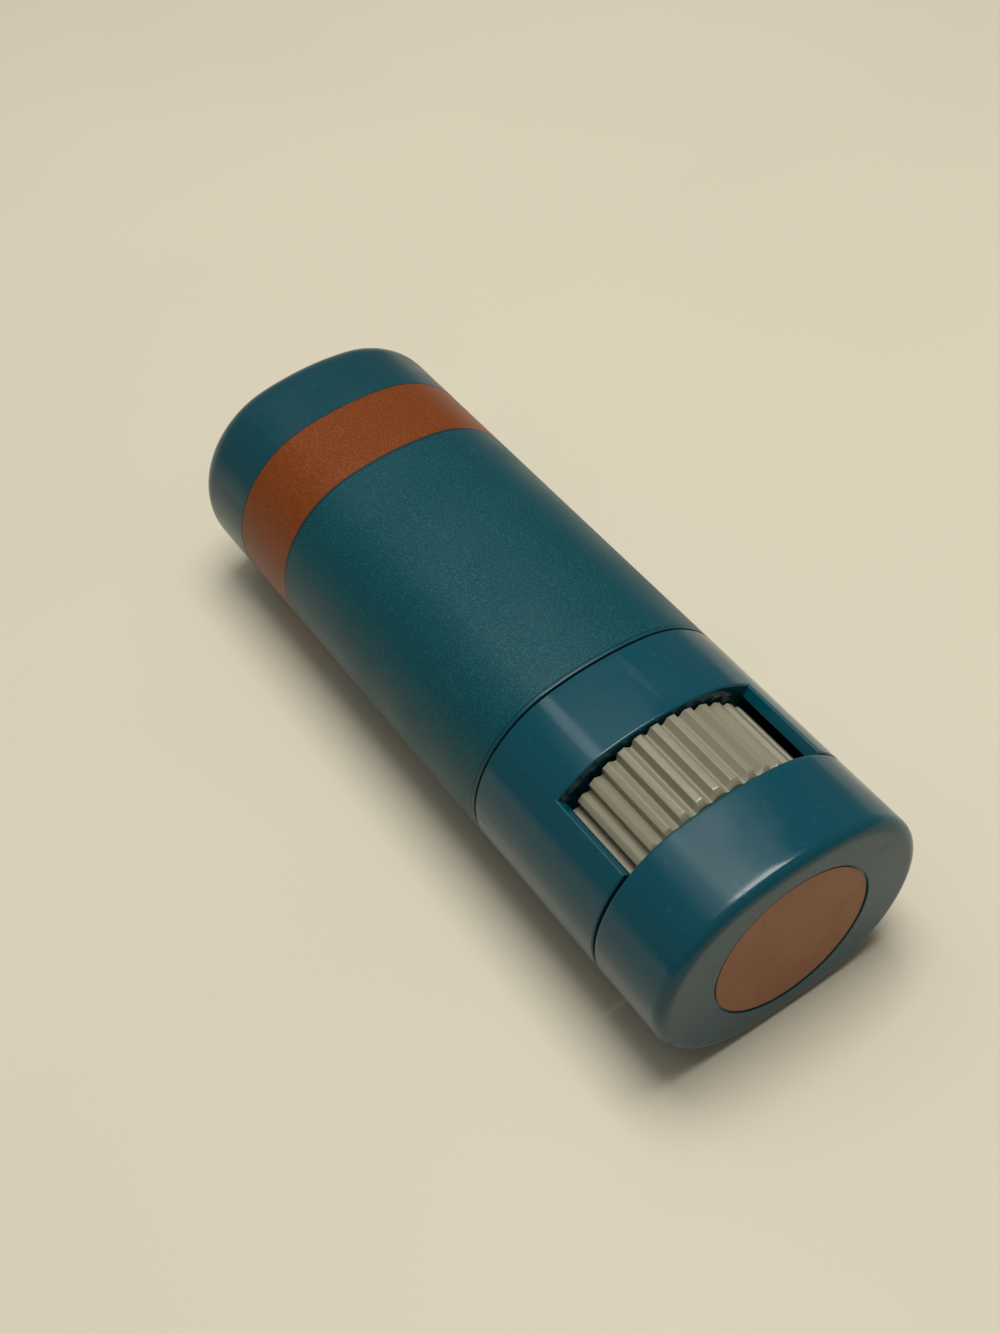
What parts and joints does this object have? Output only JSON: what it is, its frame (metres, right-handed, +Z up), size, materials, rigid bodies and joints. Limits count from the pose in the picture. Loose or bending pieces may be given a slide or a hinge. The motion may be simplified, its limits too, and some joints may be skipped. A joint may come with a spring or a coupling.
{
  "type": "dial-up balm stick",
  "caption": "Oval dial-up balm stick lying on one broad face: capped, with a ribbed dial wheel in two windows near its base and a balm that winds out on a screw.",
  "frame": {"origin": "middle of the footprint, on the table", "axes": "+X along the stick from the base towards the cap, +Y across its width, +Z up through its thickness"},
  "size_m": [0.076, 0.0266, 0.0212],
  "materials": {
    "teal_gloss": "gloss",
    "teal_cap": "satin gloss",
    "wrap_film": "satin film with fine grain",
    "sticker_brown": "satin",
    "wheel_grey": "satin",
    "spindle_white": "satin",
    "barrel_white": "satin",
    "carriage_white": "satin",
    "balm_tint": "waxy"
  },
  "bodies": {
    "base": {"bottom_cover": "teal_gloss", "base_sticker": "sticker_brown", "housing": "teal_gloss", "barrel": "barrel_white"},
    "dial": {"dial_wheel": "wheel_grey", "spindle": "spindle_white"},
    "balm_carriage": {"carriage": "carriage_white", "balm": "balm_tint"},
    "cap": {"cap": "teal_cap", "cap_wrap": "wrap_film"}
  },
  "joints": [
    {"name": "dial_turn", "type": "hinge", "parent": "base", "child": "dial", "pos_m": [0, 0, 0.0106], "axis": [-1, 0, 0], "range_deg": [0, 4080]},
    {"name": "carriage_slide", "type": "slide", "parent": "base", "child": "balm_carriage", "axis": [1, 0, 0], "range_m": [0, 0.034]},
    {"name": "cap_slide", "type": "slide", "parent": "balm_carriage", "child": "cap", "axis": [1, 0, 0], "range_m": [0, 0.05]}
  ],
  "couplings": [
    {"joint": "carriage_slide", "follows": "dial_turn", "m_per_rad": 0.00047746}
  ]
}
